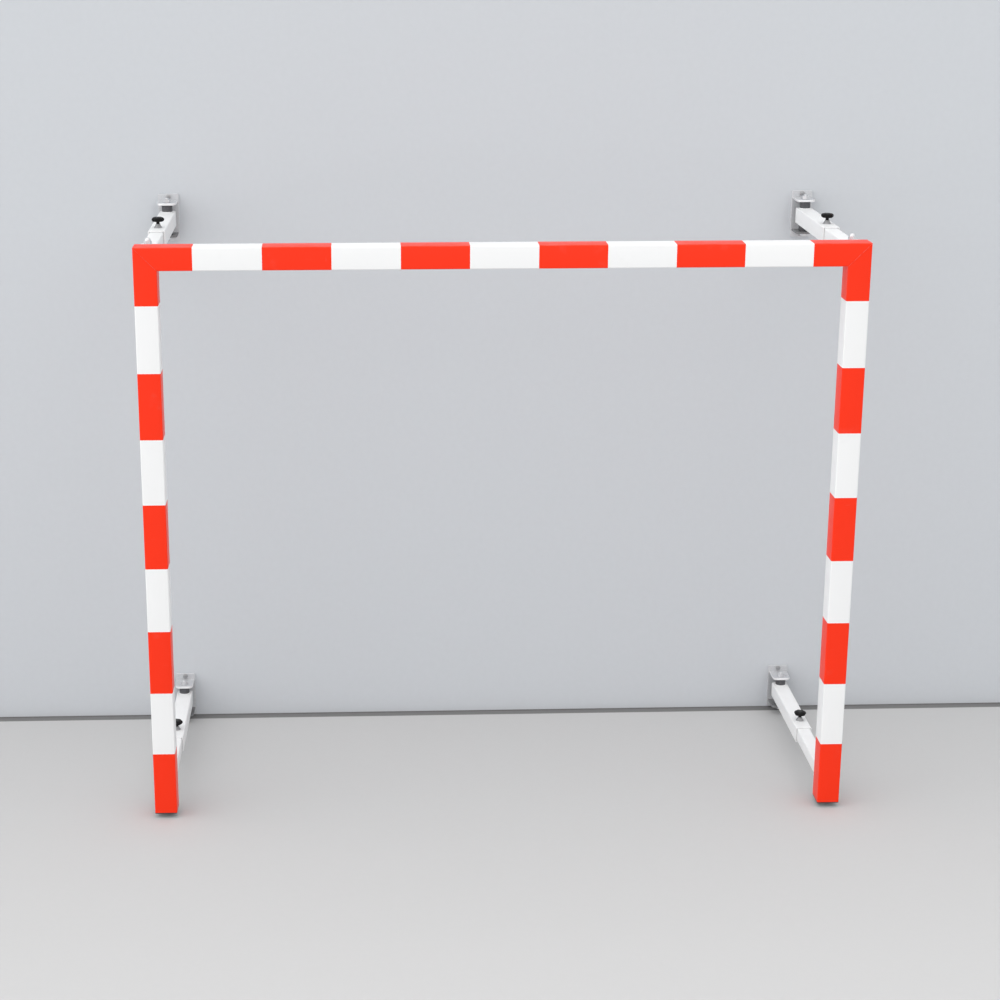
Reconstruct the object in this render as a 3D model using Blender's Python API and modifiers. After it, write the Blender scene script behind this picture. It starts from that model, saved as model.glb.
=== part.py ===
"""Wall-mounted handball goal on four telescopic swing arms.

Frame of the part: the wall is the plane Y = 0 and the goal faces -Y. X runs along
the wall with the goal's middle at X = 0. Z is up, with the feet of the posts at Z = 0.
"""
import math

import bmesh
import bpy
from mathutils import Matrix, Vector

# Goal frame: square aluminium profile, mitred at the two upper corners
CLEAR_WIDTH = 2.350
CLEAR_HEIGHT = 2.000
PROFILE = 0.080
PROFILE_WALL = 0.004
PROFILE_ROUND = 0.004
GOAL_DISTANCE = 0.950
CORNER_LEG = 0.150
CORNER_WALL = 0.005
CAP_FLANGE = 0.003
CAP_PLUG = 0.017

# Telescopic arms: a square tube sliding in a larger one
UPPER_ARM_DROP = 0.045
LOWER_ARM_HEIGHT = 0.080
INNER_TUBE = 0.050
INNER_WALL = 0.003
INNER_LENGTH = 0.590
TUBE_PLAY = 0.001
OUTER_WALL = 0.004
OUTER_LENGTH = 0.467
TUBE_ROUND = 0.005
TUBE_END_MARGIN = 0.020

# Wall brackets: a plate with two ears that hold an upright hinge bolt
WALL_HINGE_REACH = 0.065
PLATE_WIDTH = 0.080
PLATE_THICK = 0.008
PLATE_ROUND = 0.008
PLATE_RIM = 0.0024
EAR_GAP = 0.027
EAR_THICK = 0.008
EAR_WIDTH = 0.070
EAR_NOSE = 0.027
EAR_ROUND = 0.018
ANCHOR_GAP = 0.003
ANCHOR_RADIUS = 0.005
ANCHOR_HEX = 0.017
ANCHOR_HEAD_TALL = 0.0065

# Hinge bolts with hexagon heads, nuts at the wall and cap nuts at the goal, and the arm's sleeve
HINGE_BOLT_RADIUS = 0.008
HINGE_HEX = 0.024
HINGE_HEAD_TALL = 0.010
HINGE_NUT_TALL = 0.013
WALL_BOLT_TIP = 0.004
GOAL_BOLT_TIP = 0.004
NUT_DOME_RIM = 0.0007
SLEEVE_RADIUS = 0.020

# Goal brackets: a clevis on the back of each post
GOAL_HINGE_REACH = 0.050
GOAL_PLATE_WIDTH = 0.060
GOAL_PLATE_HEIGHT = 0.080
GOAL_PLATE_THICK = 0.006
GOAL_PLATE_ROUND = 0.005
GOAL_EAR_THICK = 0.006
GOAL_EAR_WIDTH = 0.050
GOAL_EAR_NOSE = 0.024
GOAL_EAR_ROUND = 0.014
GOAL_EAR_GAP = 0.0035

# Clamp that locks the inner tube: a threaded boss and a star knob on a stud
KNOB_SETBACK = 0.074
BOSS_FOOT_RADIUS = 0.014
BOSS_TOP_RADIUS = 0.009
BOSS_FOOT = 0.002
BOSS_HEIGHT = 0.014
STUD_RADIUS = 0.005
NECK_RADIUS = 0.008
NECK_HEIGHT = 0.009
KNOB_RADIUS = 0.023
KNOB_THICK = 0.0155
KNOB_EDGE = 0.004
KNOB_CROWN = 0.002
KNOB_CAP_RADIUS = 0.011
KNOB_LOBES = 7
KNOB_NOTCH_RADIUS = 0.006
KNOB_NOTCH_DEPTH = 0.003

# Fits, and how finely round shapes are faceted
TOUCH = 0.0003
HEX_SIDES = 6
ROUND_SIDES = 16
TURNED_SIDES = 21
NOTCH_SIDES = 8
CORNER_SIDES = 3
EAR_CORNER_SIDES = 4
SMOOTH_ANGLE = math.radians(35)
MERGE_DISTANCE = 0.00001
# A cutter is this many times as long as what it goes through
CUT_THROUGH = 2
# The least cosine between an edge and an axis for the edge to run along it
ALONG_AXIS = 0.9

# Sizes and places worked out from the values above
OUTER_TUBE = INNER_TUBE + 2 * TUBE_PLAY + 2 * OUTER_WALL
EAR_SPREAD = OUTER_TUBE + 2 * EAR_GAP
ANCHOR_HEAD_RADIUS = ANCHOR_HEX / 2 / math.cos(math.pi / HEX_SIDES)
ANCHOR_OFFSET = EAR_SPREAD / 2 + EAR_THICK + ANCHOR_GAP + ANCHOR_HEAD_RADIUS
PLATE_HEIGHT = 2 * (ANCHOR_OFFSET + ANCHOR_HEAD_RADIUS + PLATE_RIM)
FRAME_WIDTH = CLEAR_WIDTH + 2 * PROFILE
FRAME_HEIGHT = CLEAR_HEIGHT + PROFILE
FRAME_MIDDLE_Y = -GOAL_DISTANCE + PROFILE / 2
FRAME_BACK_Y = -GOAL_DISTANCE + PROFILE
ARM_X = (FRAME_WIDTH - PROFILE) / 2
UPPER_ARM_Z = FRAME_HEIGHT - UPPER_ARM_DROP
GOAL_HINGE_Y = FRAME_BACK_Y + GOAL_HINGE_REACH
OUTER_START_Y = -WALL_HINGE_REACH + TUBE_END_MARGIN
OUTER_MIDDLE_Y = OUTER_START_Y - OUTER_LENGTH / 2
INNER_MIDDLE_Y = GOAL_HINGE_Y - TUBE_END_MARGIN + INNER_LENGTH / 2
KNOB_Y = OUTER_START_Y - OUTER_LENGTH + KNOB_SETBACK

SIDES = {"left": -1, "right": 1}
LEVELS = {"upper": UPPER_ARM_Z, "lower": LOWER_ARM_HEIGHT}


def clear_scene():
    """Remove whatever the file holds before the part is built."""
    for old in list(bpy.data.objects):
        bpy.data.objects.remove(old, do_unlink=True)


def make_collection(name):
    collection = bpy.data.collections.new(name)
    bpy.context.scene.collection.children.link(collection)
    return collection


def make_material(name, colour, roughness, metallic):
    material = bpy.data.materials.new(name)
    material.use_nodes = True
    shader = material.node_tree.nodes["Principled BSDF"]
    shader.inputs["Base Color"].default_value = (*colour, 1.0)
    shader.inputs["Roughness"].default_value = roughness
    shader.inputs["Metallic"].default_value = metallic
    return material


def make_pivot(name, location):
    """An empty on a joint's axis, which carries the pieces that move about it."""
    pivot = bpy.data.objects.new(name, None)
    pivot.location = location
    PARTS.objects.link(pivot)
    return pivot


def add_piece(name, mesh, material, place, parent=None):
    """Link a mesh as one named piece at a place given in the part's frame."""
    piece = bpy.data.objects.new(name, mesh)
    piece.data.materials.append(material)
    PARTS.objects.link(piece)
    piece.location = place
    if parent is not None:
        piece.parent = parent
        piece.location = Vector(place) - parent.location
    return piece


def add_cutter(name, mesh, place):
    """Link a mesh that only cuts holes."""
    cutter = bpy.data.objects.new(name, mesh)
    CUTTERS.objects.link(cutter)
    cutter.location = place
    cutter.hide_render = True
    cutter.display_type = "WIRE"
    return cutter


def combine(piece, other, operation):
    """Cut one object from a piece, or join it on."""
    modifier = piece.modifiers.new(other.name, "BOOLEAN")
    modifier.operation = operation
    modifier.solver = "EXACT"
    modifier.object = other


def finish_mesh(shape, name, smooth=False):
    mesh = bpy.data.meshes.new(name)
    bmesh.ops.recalc_face_normals(shape, faces=shape.faces)
    shape.to_mesh(mesh)
    shape.free()
    if smooth:
        mesh.shade_smooth()
        mesh.set_sharp_from_angle(angle=SMOOTH_ANGLE)
    return mesh


def block_shape(size, round_axis=None, radius=0.0, sides=CORNER_SIDES, only_front=False):
    """A box about the origin whose edges along one axis are rounded."""
    shape = bmesh.new()
    bmesh.ops.create_cube(shape, size=1.0)
    bmesh.ops.scale(shape, vec=size, verts=shape.verts)
    if radius > 0:
        edges = []
        for edge in shape.edges:
            along = (edge.verts[0].co - edge.verts[1].co).normalized()
            middle = (edge.verts[0].co + edge.verts[1].co) / 2
            if abs(along[round_axis]) > ALONG_AXIS and (middle.y < 0 or not only_front):
                edges.append(edge)
        bmesh.ops.bevel(shape, geom=edges, offset=radius, segments=sides, profile=0.5,
                        affect="EDGES")
    return shape


def block_mesh(name, size, **rounding):
    return finish_mesh(block_shape(size, **rounding), name)


def trim_shape(shape, point, normal):
    """Cut a convex shape at a plane and cap it, removing what lies beyond it."""
    everything = shape.verts[:] + shape.edges[:] + shape.faces[:]
    result = bmesh.ops.bisect_plane(shape, geom=everything, plane_co=point, plane_no=normal,
                                    clear_outer=True)
    rim = [item for item in result["geom_cut"] if isinstance(item, bmesh.types.BMEdge)]
    bmesh.ops.edgeloop_fill(shape, edges=rim)


def hole_radius(pin_radius):
    """The corner radius of a faceted hole whose flats just clear a pin."""
    return (pin_radius + TOUCH) / math.cos(math.pi / ROUND_SIDES)


def rod_shape(radius, length, sides=ROUND_SIDES):
    """An upright cylinder or prism about the origin."""
    shape = bmesh.new()
    bmesh.ops.create_cone(shape, cap_ends=True, segments=sides, radius1=radius,
                          radius2=radius, depth=length)
    return shape


def rod_mesh(name, radius, length, sides=ROUND_SIDES):
    return finish_mesh(rod_shape(radius, length, sides), name, smooth=sides > HEX_SIDES)


def lying_rod_mesh(name, radius, length, sides=ROUND_SIDES):
    """A rod or prism along Y about the origin."""
    shape = rod_shape(radius, length, sides)
    bmesh.ops.rotate(shape, verts=shape.verts, cent=(0, 0, 0),
                     matrix=Matrix.Rotation(math.pi / 2, 3, "X"))
    return finish_mesh(shape, name, smooth=sides > HEX_SIDES)


def hex_mesh(name, across_flats, height):
    corner_radius = across_flats / 2 / math.cos(math.pi / HEX_SIDES)
    return rod_mesh(name, corner_radius, height, sides=HEX_SIDES)


def turned_piece(name, profile, closed, material, place, parent):
    """Turn a profile of (radius, height) points about the piece's own Z axis."""
    mesh = bpy.data.meshes.new(name)
    points = [(radius, 0.0, height) for radius, height in profile]
    edges = [(index, index + 1) for index in range(len(points) - 1)]
    if closed:
        edges.append((len(points) - 1, 0))
    mesh.from_pydata(points, edges, [])
    piece = add_piece(name, mesh, material, place, parent)
    screw = piece.modifiers.new("turn", "SCREW")
    screw.axis = "Z"
    screw.steps = TURNED_SIDES
    screw.render_steps = TURNED_SIDES
    screw.use_merge_vertices = True
    screw.merge_threshold = MERGE_DISTANCE
    screw.use_smooth_shade = False
    return piece


def frame_bar(name, length, axis, place, mitres, parent, material):
    """One profile of the goal frame: a square tube with its mitred ends trimmed."""
    size = [PROFILE, PROFILE, PROFILE]
    size[axis] = length
    shape = block_shape(size, round_axis=axis, radius=PROFILE_ROUND)
    for point, normal in mitres:
        trim_shape(shape, Vector(point) - Vector(place), normal)
    bar = add_piece(name, finish_mesh(shape, name), material, place, parent)
    bore_size = [PROFILE - 2 * PROFILE_WALL] * 3
    bore_size[axis] = CUT_THROUGH * length
    bore = add_cutter(name + "_bore", block_mesh(name + "_bore", bore_size), place)
    combine(bar, bore, "DIFFERENCE")
    return bar


def mitre_plane(side, outward):
    """The mitre between crossbar and post, moved back by half the touching gap."""
    corner = Vector((side * FRAME_WIDTH / 2, FRAME_MIDDLE_Y, FRAME_HEIGHT))
    normal = Vector((side, 0, -1)).normalized() * outward
    return corner - normal * TOUCH / 2, normal


def build_frame(goal):
    """Crossbar, two posts, their corner joints and the caps in their feet."""
    crossbar_z = FRAME_HEIGHT - PROFILE / 2
    mitres = [mitre_plane(side, 1) for side in SIDES.values()]
    frame_bar("crossbar", FRAME_WIDTH, 0, (0, FRAME_MIDDLE_Y, crossbar_z), mitres, goal, PAINT)
    foot = CAP_FLANGE + TOUCH
    for word, side in SIDES.items():
        post_x = side * ARM_X
        middle = (post_x, FRAME_MIDDLE_Y, (FRAME_HEIGHT + foot) / 2)
        frame_bar("post_" + word, FRAME_HEIGHT - foot, 2, middle, [mitre_plane(side, -1)],
                  goal, PAINT)
        build_corner(word, side, goal)
        build_foot_cap(word, post_x, goal)


def build_corner(word, side, goal):
    """The hollow corner casting that slides into crossbar and post."""
    outer = PROFILE - 2 * PROFILE_WALL - 2 * TOUCH
    bore = outer - 2 * CORNER_WALL
    outer_x = side * (FRAME_WIDTH / 2 - PROFILE_WALL - TOUCH)
    outer_z = FRAME_HEIGHT - PROFILE_WALL - TOUCH
    middle_x = outer_x - side * outer / 2
    name = "corner_joint_" + word
    lying_mesh = block_mesh(name, (CORNER_LEG, outer, outer))
    lying_place = (outer_x - side * CORNER_LEG / 2, FRAME_MIDDLE_Y, outer_z - outer / 2)
    corner = add_piece(name, lying_mesh, CAST, lying_place, goal)
    standing = add_cutter(name + "_leg", block_mesh(name + "_leg", (outer, outer, CORNER_LEG)),
                          (middle_x, FRAME_MIDDLE_Y, outer_z - CORNER_LEG / 2))
    combine(corner, standing, "UNION")
    bore_middle = CORNER_WALL + CORNER_LEG / 2
    lying_bore = add_cutter(name + "_bore_x", block_mesh(name + "_bore_x", (CORNER_LEG, bore, bore)),
                            (outer_x - side * bore_middle, FRAME_MIDDLE_Y, outer_z - outer / 2))
    standing_bore = add_cutter(name + "_bore_z", block_mesh(name + "_bore_z", (bore, bore, CORNER_LEG)),
                               (middle_x, FRAME_MIDDLE_Y, outer_z - bore_middle))
    combine(corner, lying_bore, "DIFFERENCE")
    combine(corner, standing_bore, "DIFFERENCE")


def build_foot_cap(word, post_x, goal):
    """A plastic cap: a flange under the post and a plug inside it."""
    name = "foot_cap_" + word
    flange = block_mesh(name, (PROFILE, PROFILE, CAP_FLANGE), round_axis=2, radius=PROFILE_ROUND)
    cap = add_piece(name, flange, PLASTIC, (post_x, FRAME_MIDDLE_Y, CAP_FLANGE / 2), goal)
    plug_width = PROFILE - 2 * PROFILE_WALL - 2 * TOUCH
    plug_tall = CAP_PLUG + CAP_FLANGE / 2
    plug = add_cutter(name + "_plug", block_mesh(name + "_plug", (plug_width, plug_width, plug_tall)),
                      (post_x, FRAME_MIDDLE_Y, CAP_FLANGE / 2 + plug_tall / 2))
    combine(cap, plug, "UNION")


def build_clevis(name, place, facing, sizes, material, parent):
    """A plate with two ears that reach out from it along -Y or +Y, with the bolt's hole.

    The place is the middle of the plate's back face, and facing is the ears' direction.
    """
    x, y, z = place
    plate_mesh = block_mesh(name, (sizes["plate_width"], sizes["plate_thick"], sizes["plate_height"]),
                            round_axis=1, radius=sizes["plate_round"])
    bracket = add_piece(name, plate_mesh, material, (x, y + facing * sizes["plate_thick"] / 2, z),
                        parent)
    root = sizes["plate_thick"] / 2
    ear_length = sizes["reach"] + sizes["nose"] - root
    for word, up in (("top", 1), ("bottom", -1)):
        ear_name = name + "_ear_" + word
        ear_shape = block_shape((sizes["ear_width"], ear_length, sizes["ear_thick"]), round_axis=2,
                                radius=sizes["ear_round"], sides=EAR_CORNER_SIDES,
                                only_front=True)
        if facing > 0:
            bmesh.ops.rotate(ear_shape, verts=ear_shape.verts, cent=(0, 0, 0),
                             matrix=Matrix.Rotation(math.pi, 3, "Z"))
        ear_place = (x, y + facing * (root + ear_length / 2),
                     z + up * (sizes["spread"] + sizes["ear_thick"]) / 2)
        ear = add_cutter(ear_name, finish_mesh(ear_shape, ear_name), ear_place)
        combine(bracket, ear, "UNION")
    hole_length = CUT_THROUGH * (sizes["spread"] + 2 * sizes["ear_thick"])
    hole_mesh = rod_mesh(name + "_hole", hole_radius(HINGE_BOLT_RADIUS), hole_length)
    hole = add_cutter(name + "_hole", hole_mesh, (x, y + facing * sizes["reach"], z))
    combine(bracket, hole, "DIFFERENCE")
    return bracket


def build_hinge_bolt(prefix, suffix, x, y, z, stack, tip, parent):
    """An upright bolt, its head below the ears and its nut above them: a domed one at the goal."""
    name = prefix + "_bolt_" + suffix
    shank_bottom = -stack / 2 - TOUCH - HINGE_HEAD_TALL / 2
    shank_top = stack / 2 + TOUCH + HINGE_NUT_TALL + tip
    shank = rod_mesh(name, HINGE_BOLT_RADIUS, shank_top - shank_bottom)
    bolt = add_piece(name, shank, ZINC, (x, y, z + (shank_top + shank_bottom) / 2), parent)
    head_z = z - stack / 2 - TOUCH - HINGE_HEAD_TALL / 2
    head = add_cutter(name + "_head", hex_mesh(name + "_head", HINGE_HEX, HINGE_HEAD_TALL),
                      (x, y, head_z))
    combine(bolt, head, "UNION")
    nut_name = prefix + "_nut_" + suffix
    nut_z = z + stack / 2 + TOUCH + HINGE_NUT_TALL / 2
    nut = add_piece(nut_name, hex_mesh(nut_name, HINGE_HEX, HINGE_NUT_TALL), ZINC, (x, y, nut_z),
                    parent)
    thread_top = z + shank_top + TOUCH
    thread_tall = CUT_THROUGH * (HINGE_NUT_TALL + tip)
    thread_mesh = rod_mesh(nut_name + "_bore", hole_radius(HINGE_BOLT_RADIUS), thread_tall)
    thread = add_cutter(nut_name + "_bore", thread_mesh, (x, y, thread_top - thread_tall / 2))
    if prefix == "goal_hinge":
        dome_shape = bmesh.new()
        bmesh.ops.create_uvsphere(dome_shape, u_segments=ROUND_SIDES, v_segments=ROUND_SIDES // 2,
                                  radius=HINGE_HEX / 2 - NUT_DOME_RIM)
        dome = add_cutter(nut_name + "_dome", finish_mesh(dome_shape, nut_name + "_dome"),
                          (x, y, nut_z + HINGE_NUT_TALL / 2))
        combine(nut, dome, "UNION")
    combine(nut, thread, "DIFFERENCE")


def build_wall_bracket(suffix, x, z):
    """The bracket on the wall, its two anchor bolts and its hinge bolt."""
    sizes = {"plate_width": PLATE_WIDTH, "plate_height": PLATE_HEIGHT, "plate_thick": PLATE_THICK,
             "plate_round": PLATE_ROUND, "reach": WALL_HINGE_REACH, "nose": EAR_NOSE,
             "ear_width": EAR_WIDTH, "ear_thick": EAR_THICK, "ear_round": EAR_ROUND,
             "spread": EAR_SPREAD}
    bracket = build_clevis("wall_bracket_" + suffix, (x, 0, z), -1, sizes, ZINC, None)
    for word, up in (("top", 1), ("bottom", -1)):
        name = "wall_anchor_" + suffix + "_" + word
        anchor_z = z + up * ANCHOR_OFFSET
        hole_mesh = lying_rod_mesh(name + "_hole", hole_radius(ANCHOR_RADIUS),
                                   2 * CUT_THROUGH * PLATE_THICK)
        hole = add_cutter(name + "_hole", hole_mesh, (x, 0, anchor_z))
        combine(bracket, hole, "DIFFERENCE")
        shank_length = PLATE_THICK + TOUCH + ANCHOR_HEAD_TALL / 2
        anchor = add_piece(name, lying_rod_mesh(name, ANCHOR_RADIUS, shank_length), ZINC,
                           (x, -shank_length / 2, anchor_z))
        head_mesh = lying_rod_mesh(name + "_head", ANCHOR_HEAD_RADIUS, ANCHOR_HEAD_TALL,
                                   sides=HEX_SIDES)
        head = add_cutter(name + "_head", head_mesh,
                          (x, -PLATE_THICK - TOUCH - ANCHOR_HEAD_TALL / 2, anchor_z))
        combine(anchor, head, "UNION")
    build_hinge_bolt("wall_hinge", suffix, x, -WALL_HINGE_REACH, z, EAR_SPREAD + 2 * EAR_THICK,
                     WALL_BOLT_TIP, None)


def build_tube(name, width, wall, length, place, parent):
    """A square tube along Y, open at both ends."""
    tube = add_piece(name, block_mesh(name, (width, length, width), round_axis=1, radius=TUBE_ROUND),
                     WHITE, place, parent)
    bore_width = width - 2 * wall
    bore_size = (bore_width, CUT_THROUGH * length, bore_width)
    bore = add_cutter(name + "_bore", block_mesh(name + "_bore", bore_size), place)
    combine(tube, bore, "DIFFERENCE")
    return tube


def build_arm(suffix, x, z):
    """One telescopic arm: outer tube with pivot sleeve and clamp, and the inner tube."""
    pivot = make_pivot("arm_pivot_" + suffix, (x, -WALL_HINGE_REACH, z))
    outer = build_tube("outer_tube_" + suffix, OUTER_TUBE, OUTER_WALL, OUTER_LENGTH,
                       (x, OUTER_MIDDLE_Y, z), pivot)
    sleeve_hole_name = "sleeve_hole_" + suffix
    sleeve_hole_mesh = rod_mesh(sleeve_hole_name, hole_radius(SLEEVE_RADIUS),
                                CUT_THROUGH * OUTER_TUBE)
    sleeve_hole = add_cutter(sleeve_hole_name, sleeve_hole_mesh, (x, -WALL_HINGE_REACH, z))
    combine(outer, sleeve_hole, "DIFFERENCE")
    sleeve_half = EAR_SPREAD / 2 - TOUCH
    bolt_hole = hole_radius(HINGE_BOLT_RADIUS)
    sleeve_profile = [(bolt_hole, sleeve_half), (SLEEVE_RADIUS, sleeve_half),
                      (SLEEVE_RADIUS, -sleeve_half), (bolt_hole, -sleeve_half)]
    turned_piece("hinge_sleeve_" + suffix, sleeve_profile, True, DARK,
                 (x, -WALL_HINGE_REACH, z), pivot)
    build_clamp(suffix, x, z, outer, pivot)
    inner = build_tube("inner_tube_" + suffix, INNER_TUBE, INNER_WALL, INNER_LENGTH,
                       (x, INNER_MIDDLE_Y, z), pivot)
    goal_hole_mesh = rod_mesh("inner_hole_" + suffix, bolt_hole, CUT_THROUGH * INNER_TUBE)
    goal_hole = add_cutter("inner_hole_" + suffix, goal_hole_mesh, (x, GOAL_HINGE_Y, z))
    combine(inner, goal_hole, "DIFFERENCE")


def build_clamp(suffix, x, z, outer, pivot):
    """The boss on the outer tube and the star knob whose stud presses the inner tube."""
    tube_top = z + OUTER_TUBE / 2
    stud_hole = hole_radius(STUD_RADIUS)
    hole_tall = 2 * CUT_THROUGH * OUTER_WALL
    hole = add_cutter("stud_hole_" + suffix, rod_mesh("stud_hole_" + suffix, stud_hole, hole_tall),
                      (x, KNOB_Y, tube_top))
    combine(outer, hole, "DIFFERENCE")
    boss_profile = [(stud_hole, BOSS_HEIGHT), (BOSS_TOP_RADIUS, BOSS_HEIGHT),
                    (BOSS_FOOT_RADIUS, BOSS_FOOT), (BOSS_FOOT_RADIUS, TOUCH), (stud_hole, TOUCH)]
    turned_piece("clamp_boss_" + suffix, boss_profile, True, ZINC, (x, KNOB_Y, tube_top), pivot)
    neck_bottom = BOSS_HEIGHT + TOUCH
    disc_bottom = neck_bottom + NECK_HEIGHT
    disc_top = disc_bottom + KNOB_THICK
    stud_end = INNER_TUBE / 2 - OUTER_TUBE / 2 + TOUCH
    rim_top = disc_top - KNOB_CROWN
    knob_profile = [(0, disc_top), (KNOB_CAP_RADIUS, disc_top),
                    (KNOB_RADIUS - KNOB_EDGE, rim_top),
                    (KNOB_RADIUS, rim_top - KNOB_EDGE),
                    (KNOB_RADIUS, disc_bottom + KNOB_EDGE),
                    (KNOB_RADIUS - KNOB_EDGE, disc_bottom),
                    (NECK_RADIUS, disc_bottom), (NECK_RADIUS, neck_bottom),
                    (STUD_RADIUS, neck_bottom), (STUD_RADIUS, stud_end), (0, stud_end)]
    knob = turned_piece("clamp_knob_" + suffix, knob_profile, False, PLASTIC,
                        (x, KNOB_Y, tube_top), pivot)
    notches = bmesh.new()
    notch_circle = KNOB_RADIUS + KNOB_NOTCH_RADIUS - KNOB_NOTCH_DEPTH
    for index in range(KNOB_LOBES):
        angle = 2 * math.pi * index / KNOB_LOBES
        place = Matrix.Translation((notch_circle * math.cos(angle), notch_circle * math.sin(angle),
                                    disc_bottom + KNOB_THICK / 2))
        bmesh.ops.create_cone(notches, cap_ends=True, segments=NOTCH_SIDES,
                              radius1=KNOB_NOTCH_RADIUS, radius2=KNOB_NOTCH_RADIUS,
                              depth=CUT_THROUGH * KNOB_THICK, matrix=place)
    notch_cutter = add_cutter("knob_notches_" + suffix,
                              finish_mesh(notches, "knob_notches_" + suffix), (x, KNOB_Y, tube_top))
    combine(knob, notch_cutter, "DIFFERENCE")


def build_goal_bracket(suffix, x, z, goal):
    """The clevis on the back of the post, with its bolt and nut."""
    spread = INNER_TUBE + 2 * GOAL_EAR_GAP
    sizes = {"plate_width": GOAL_PLATE_WIDTH, "plate_height": GOAL_PLATE_HEIGHT,
             "plate_thick": GOAL_PLATE_THICK, "plate_round": GOAL_PLATE_ROUND,
             "reach": GOAL_HINGE_REACH - TOUCH, "nose": GOAL_EAR_NOSE, "ear_width": GOAL_EAR_WIDTH,
             "ear_thick": GOAL_EAR_THICK, "ear_round": GOAL_EAR_ROUND, "spread": spread}
    build_clevis("goal_bracket_" + suffix, (x, FRAME_BACK_Y + TOUCH, z), 1, sizes, WHITE, goal)
    build_hinge_bolt("goal_hinge", suffix, x, GOAL_HINGE_Y, z, spread + 2 * GOAL_EAR_THICK,
                     GOAL_BOLT_TIP, goal)


def build_part():
    goal = make_pivot("goal_pivot", (-ARM_X, GOAL_HINGE_Y, UPPER_ARM_Z))
    build_frame(goal)
    for level, z in LEVELS.items():
        for word, side in SIDES.items():
            suffix = level + "_" + word
            build_wall_bracket(suffix, side * ARM_X, z)
            build_arm(suffix, side * ARM_X, z)
            build_goal_bracket(suffix, side * ARM_X, z, goal)


clear_scene()
PARTS = make_collection("wall_mounted_handball_goal")
CUTTERS = make_collection("cutters")
PAINT = make_material("striped_powder_coat", (0.90, 0.90, 0.89), 0.35, 0.0)
WHITE = make_material("white_powder_coat", (0.87, 0.88, 0.89), 0.38, 0.0)
ZINC = make_material("zinc_plated_steel", (0.62, 0.63, 0.64), 0.42, 0.9)
CAST = make_material("cast_aluminium", (0.66, 0.66, 0.67), 0.55, 0.9)
DARK = make_material("dark_sleeve", (0.08, 0.08, 0.09), 0.50, 0.3)
PLASTIC = make_material("black_plastic", (0.03, 0.03, 0.03), 0.45, 0.0)
build_part()
bpy.context.view_layer.update()
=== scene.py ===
# Looks of a wall-mounted goal on telescopic swing arms, built around its fixed frame.
# Metres, +Z up. The wall is the plane Y = 0, the goal faces -Y, the feet of the posts are at Z = 0.
import math

import bmesh
import bpy
from mathutils import Matrix, Vector


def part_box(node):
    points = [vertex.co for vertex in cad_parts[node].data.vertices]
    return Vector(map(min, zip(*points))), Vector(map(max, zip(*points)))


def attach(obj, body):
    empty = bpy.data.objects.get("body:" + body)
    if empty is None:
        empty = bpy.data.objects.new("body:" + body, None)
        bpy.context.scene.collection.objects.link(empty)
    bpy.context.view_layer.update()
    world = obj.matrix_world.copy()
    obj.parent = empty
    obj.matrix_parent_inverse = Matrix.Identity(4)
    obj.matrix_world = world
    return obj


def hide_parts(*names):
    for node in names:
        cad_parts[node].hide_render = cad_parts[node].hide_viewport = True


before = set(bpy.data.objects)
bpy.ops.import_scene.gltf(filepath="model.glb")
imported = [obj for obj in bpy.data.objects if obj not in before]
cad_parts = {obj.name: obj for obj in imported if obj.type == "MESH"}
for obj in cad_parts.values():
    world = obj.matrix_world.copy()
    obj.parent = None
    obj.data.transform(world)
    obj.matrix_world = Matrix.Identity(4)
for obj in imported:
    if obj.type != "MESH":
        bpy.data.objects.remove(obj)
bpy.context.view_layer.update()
print("frame loaded:", len(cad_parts), "nodes")

cornerNames = ["upper_left", "upper_right", "lower_left", "lower_right"]
quarterTurn = math.pi / 2
hexSector = math.pi / 3


# Mesh tools

def placeObject(name, data):
    made = bpy.data.objects.new(name, data)
    bpy.context.scene.collection.objects.link(made)
    return made


# A mesh made from a shape, which is then freed.
def meshFrom(name, shape):
    mesh = bpy.data.meshes.new(name)
    shape.to_mesh(mesh)
    shape.free()
    return mesh


# The low and high corners of a CAD node's box, and its middle.
def spanOf(node):
    low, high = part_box(node)
    return low, high, (low + high) / 2


def addLoop(shape, points):
    return [shape.verts.new(point) for point in points]


# Faces between loops of equally many points; a loop of one point is a pole.
def skinLoops(shape, loops, closed=False, materialIndex=0):
    pairs = list(zip(loops, loops[1:]))
    if closed:
        pairs.append((loops[-1], loops[0]))
    for first, second in pairs:
        count = max(len(first), len(second))
        for index in range(count):
            following = (index + 1) % count
            if len(first) == 1:
                corners = (first[0], second[following], second[index])
            elif len(second) == 1:
                corners = (first[index], first[following], second[0])
            else:
                corners = (first[index], first[following], second[following], second[index])
            shape.faces.new(corners).material_index = materialIndex


def moveLoops(shape, loops, matrix):
    made = [vertex for loop in loops for vertex in loop]
    bmesh.ops.transform(shape, matrix=matrix, verts=made)


# Points on a level circle, or one point where the radius is nothing.
def ringPoints(radius, height, count):
    if radius == 0.0:
        return [(0.0, 0.0, height)]
    angles = [2 * math.pi * index / count for index in range(count)]
    return [(radius * math.cos(angle), radius * math.sin(angle), height) for angle in angles]


# A turned body about an upright axis through a place.
def turnProfile(shape, profile, count, place=(0.0, 0.0, 0.0), closed=False):
    loops = []
    for radius, height in profile:
        points = ringPoints(radius, height, count)
        loops.append(addLoop(shape, [Vector(point) + Vector(place) for point in points]))
    skinLoops(shape, loops, closed)
    return loops


# Flat washers with softened edges, one above a place and one below it.
def washerPair(shape, bore, radius, near, far, soften, count, place):
    for sign in (-1, 1):
        low, high = sorted((sign * near, sign * far))
        ring = [(bore, high), (radius - soften, high), (radius, high - soften),
                (radius, low + soften), (radius - soften, low), (bore, low)]
        turnProfile(shape, ring, count, place, closed=True)


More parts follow.
